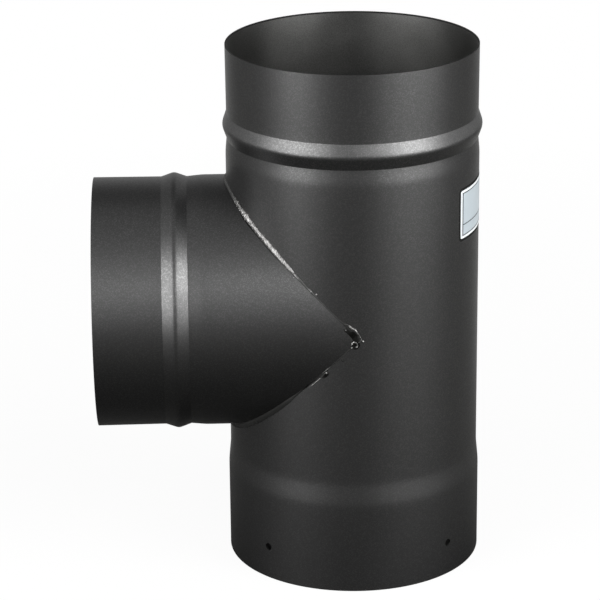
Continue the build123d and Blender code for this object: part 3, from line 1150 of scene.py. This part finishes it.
def wrap_film(columns_mm, rows_mm, corner, rise, pick):
    """A sheet of faces wrapped on the run, with rounded corners, its ink picked face by face."""
    mesh = bmesh.new()
    grid, on_arc = [], []
    for up_mm in rows_mm:
        for side_mm in columns_mm:
            near = Vector((
                math.copysign(max(0, abs(side_mm) - columns_mm[-1] + corner), side_mm),
                math.copysign(max(0, abs(up_mm) - rows_mm[-1] + corner), up_mm),
            ))
            pull_in = near - near.normalized() * min(near.length, corner) if near.length else near
            turn = label_angle + (side_mm - pull_in.x) * mm / body_radius
            radius = body_radius + rise
            height = label_middle + (up_mm - pull_in.y) * mm
            grid.append(mesh.verts.new((radius * math.cos(turn), radius * math.sin(turn), height)))
            on_arc.append(pull_in.length > 0.0001)
    wide = len(columns_mm)
    for row, (low, high) in enumerate(zip(rows_mm, rows_mm[1:])):
        for column, (left, right) in enumerate(zip(columns_mm, columns_mm[1:])):
            first = row * wide + column
            ends = (first, first + 1, first + 1 + wide, first + wide)
            if all(on_arc[end] for end in ends):
                continue  # a cell cut off by the rounded corner
            face = mesh.faces.new([grid[end] for end in ends])
            face.material_index = pick((left + right) / 2, (low + high) / 2)
    loose = [vert for vert in mesh.verts if not vert.link_faces]
    bmesh.ops.delete(mesh, geom=loose, context="VERTS")
    done = bpy.data.meshes.new("film")
    mesh.to_mesh(done)
    mesh.free()
    for finish in (label_film, film_edge, label_ink, painted_edge_shadow):
        done.materials.append(finish)
    return done


def film_ink(side_mm, up_mm):
    """Which finish a face of the film has: the tint inside the frame, the unprinted rim, or the ink."""
    from_side, from_end = label_width / 2 - abs(side_mm), label_height / 2 - abs(up_mm)
    inside = from_side > frame_inset_side and from_end > frame_inset
    on_upright, on_level = from_side < frame_inset_side + upright_line, from_end < frame_inset + line_width
    printed = on_upright or on_level or rule[0] < up_mm < rule[1]
    return rim if not inside else ink if printed else tint


print("the rule lies this far above the label's middle, in mm:", round(rule_up, 2))

# %% Wrap the film and its painted edge shadow on the run
film_columns = ruled(label_width / 2, frame_inset_side, upright_line)
film_rows = ruled(label_height / 2, frame_inset, line_width, extra=rule)
edge_shadow_columns = ruled(label_width / 2 + edge_shadow_width, edge_shadow_band, line_width)
edge_shadow_rows = ruled(label_height / 2 + edge_shadow_width, edge_shadow_band, line_width)
film_sheet = wrap_film(film_columns, film_rows, label_corner, label_thickness, film_ink)
edge_shadow_corner = label_corner + edge_shadow_width
edge_shadow_sheet = wrap_film(edge_shadow_columns, edge_shadow_rows, edge_shadow_corner, edge_shadow_rise, lambda side_mm, up_mm: edge_shadow)
layers = []
for sheet_mesh, thickness in ((film_sheet, label_thickness + film_sink), (edge_shadow_sheet, edge_shadow_thickness)):
    layer = new_piece("film_layer", sheet_mesh)
    thick = layer.modifiers.new("film thickness", "SOLIDIFY")
    thick.thickness, thick.offset = thickness, -1
    layers.append(close_up(freeze(layer, "film_layer")))
label = join_pieces("label_film", layers)
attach(label, "root")
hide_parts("label")

# %% [markdown]
# ## The studio
#
# A dark satin cylinder shows its studio more than its colour. The camera comes first: it stands 1.7 m off
# with a long lens, about 20 degrees up, as the oval of the top mouth and the nearly parallel edges tell. Its
# place could be set by eye, but here it was solved from the outlines together with the sizes.

# %% Camera at the photograph's place
azimuth, elevation, roll = math.radians(1.77), math.radians(19.806), math.radians(-0.58)
camera_target, camera_distance = Vector((-0.032389, 0, 0.160146)), 1.719786
focal_dots, picture_dots, sensor_width = 2811.656, 600, 36.0


def bearing(turn, lift):
    """The way from the tee to a place that is turned about it from the front, and lifted."""
    return Vector((math.sin(turn) * math.cos(lift), -math.cos(turn) * math.cos(lift), math.sin(lift)))


away = bearing(-azimuth, elevation)
camera = bpy.data.objects.new("camera", bpy.data.cameras.new("camera"))
bpy.context.scene.collection.objects.link(camera)
bpy.context.scene.camera = camera
camera.data.sensor_width = sensor_width
camera.data.lens = focal_dots * sensor_width / picture_dots
camera.data.clip_end = 50
look = (-away).to_track_quat("-Z", "Y").to_matrix().to_4x4()
stand = Matrix.Translation(camera_target + away * camera_distance)
camera.matrix_world = stand @ look @ Matrix.Rotation(roll, 4, "Z")
print("camera at", [round(value, 4) for value in camera.matrix_world.translation])

# %% [markdown]
# Each lamp's place was found from the bands of light on the two pipes. A tall soft box and a wide sheet, one
# in front of the other, stand on the left. A soft box, a low strip and a sheet overhead stand on the right.

# %% Soft boxes
lamp_target, lamp_distance = Vector((-0.03, 0, 0.18)), 1.3
soft_boxes = {  # degrees round from the front and up, width and height in metres, watts
    "left soft box": (-52, 20, 0.68, 1.1, 12.5),
    "left wide sheet": (-52, 20, 1.36, 0.56, 9.0),
    "right soft box": (52, 26, 0.68, 0.84, 12.0),
    "right low strip": (52, 2, 1.36, 0.3, 3.6),
    "right overhead sheet": (42, 32, 1.7, 0.56, 7.5),
}
for name, (turn_degrees, lift_degrees, width, height, watts) in soft_boxes.items():
    lamp = bpy.data.lights.new(name, "AREA")
    lamp.shape, lamp.size, lamp.size_y, lamp.energy = "RECTANGLE", width, height, watts
    stand = bpy.data.objects.new(name, lamp)
    out = bearing(math.radians(turn_degrees), math.radians(lift_degrees))
    stand.location = lamp_target + out * lamp_distance
    stand.rotation_euler = (-out).to_track_quat("-Z", "Y").to_euler()
    bpy.context.scene.collection.objects.link(stand)
print("soft boxes:", len(soft_boxes))

# %% [markdown]
# The photographer blocked much of the room's white from the paint with black card. So to the camera the floor
# and the backdrop are white, but in the paint they are dimmer. The floor's tones there are painted: painted
# shadow darkens it close in front of the foot, and painted reflection makes it paler behind and to the right,
# with a faint white glow right behind for glossy rays only. Both edges of the pipes mirror the part right
# behind, which gives them a pale rim. The floor keeps a faint shadow.

# %% Floor
floor_half = 6.0
foot_reach = 77 * mm
floor_corners = [(x * floor_half, y * floor_half, 0) for x, y in ((-1, -1), (1, -1), (1, 1), (-1, 1))]
floor_mesh = bpy.data.meshes.new("floor")
floor_mesh.from_pydata(floor_corners, [], [(0, 1, 2, 3)])
floor = new_piece("floor", floor_mesh)
floor_paper, tree, shader, at = new_finish("pale studio floor")
ray = put(tree, "ShaderNodeLightPath")
from_axis = put(tree, "ShaderNodeVectorMath", at, operation="LENGTH")
outside_tee = put(tree, "ShaderNodeMath", from_axis, foot_reach, operation="GREATER_THAN")
open_floor = put(tree, "ShaderNodeMath", ray.outputs["Is Camera Ray"], outside_tee, operation="MULTIPLY")
on_floor = put(tree, "ShaderNodeSeparateXYZ", at)
floor_x, floor_y = on_floor.outputs["X"], on_floor.outputs["Y"]
back_share = put(tree, "ShaderNodeMath", floor_y, from_axis, operation="DIVIDE")
from_foot = put(tree, "ShaderNodeMapRange", floor_y, -0.1, -0.4, 0.0, 1.0)
to_right = put(tree, "ShaderNodeMapRange", floor_x, 0.08, 0.2, 0.0, 1.0)
to_back = put(tree, "ShaderNodeMapRange", floor_y, -0.05, 0.35, 0.0, 1.0)
behind = put(tree, "ShaderNodeMapRange", back_share, 0.72, 0.95, 0.0, 1.0)
# The tones that the paint mirrors: darkest close in front of the foot, painted shadow of the tee, and paler
# behind and to the right, painted reflection.
floor_tone = "#2b2b2a"
for share, tone in (
    (from_foot, "#434341"),
    (to_right, "#545452"),
    (to_back, "#989896"),
    (behind, "#c8c8c6"),
    (open_floor, "#f2f2f1"),
):
    floor_tone = put(tree, "ShaderNodeMix", feeds=between(share, floor_tone, tone), data_type="RGBA")
feed(tree, shader, {"Base Color": floor_tone, "Roughness": 0.9})
glow = put(tree, "ShaderNodeEmission", light_values("#ffffff"), 1.0)
far_white = put(tree, "ShaderNodeMapRange", from_axis, 0.2, 0.9, 0.93, 1.0)
# A faint white glow on the floor right behind the tee, seen by glossy rays only: painted reflection for the
# pipes' pale rims.
mirrored_behind = put(tree, "ShaderNodeMath", ray.outputs["Is Glossy Ray"], behind, operation="MULTIPLY")
faint_white = put(tree, "ShaderNodeMath", mirrored_behind, 0.3, operation="MULTIPLY")
white_share = put(tree, "ShaderNodeMath", open_floor, far_white, faint_white, operation="MULTIPLY_ADD")
paper = put(tree, "ShaderNodeMixShader", white_share, shader, glow)
feed(tree, next(node for node in tree.nodes if node.type == "OUTPUT_MATERIAL"), {"Surface": paper})
floor.data.materials.append(floor_paper)

# %% Backdrop
world = bpy.data.worlds.new("studio")
world.use_nodes = True
bpy.context.scene.world = world
tree = world.node_tree
tree.nodes.clear()
ray = put(tree, "ShaderNodeLightPath")
mirror_rays = (ray.outputs["Is Glossy Ray"], ray.outputs["Is Transmission Ray"])
mirrored = put(tree, "ShaderNodeMath", *mirror_rays, operation="MAXIMUM")
way = put(tree, "ShaderNodeSeparateXYZ", put(tree, "ShaderNodeTexCoord").outputs["Generated"])
way_x, way_y, way_z = way.outputs
high_behind = put(tree, "ShaderNodeMath", way_y, way_z, operation="MULTIPLY")
wall_fade = put(tree, "ShaderNodeMapRange", high_behind, 0.3, 0.5, 0.42, 0.1)
right_wall = put(tree, "ShaderNodeMapRange", way_x, 0.2, 0.7, 0.0, 0.7)
left_wall = put(tree, "ShaderNodeMapRange", way_x, -0.3, -0.8, 0.0, 0.35)
side_walls = put(tree, "ShaderNodeMath", left_wall, right_wall, operation="ADD")
mirrored_wall = put(tree, "ShaderNodeMath", wall_fade, side_walls, operation="ADD")
reach = put(tree, "ShaderNodeMath", mirrored, mirrored_wall, operation="MULTIPLY")
seen = put(tree, "ShaderNodeMath", ray.outputs["Is Camera Ray"], reach, operation="MAXIMUM")
white = put(tree, "ShaderNodeBackground", light_values("#ffffff"), 1.0)
dim = put(tree, "ShaderNodeMapRange", mirrored, 0.0, 1.0, 0.25, 0.0)
room = put(tree, "ShaderNodeBackground", light_values("#ffffff"), dim)
put(tree, "ShaderNodeOutputWorld", put(tree, "ShaderNodeMixShader", seen, room, white))
bpy.context.scene.view_settings.view_transform = "Standard"
print("nodes in the backdrop:", len(tree.nodes))
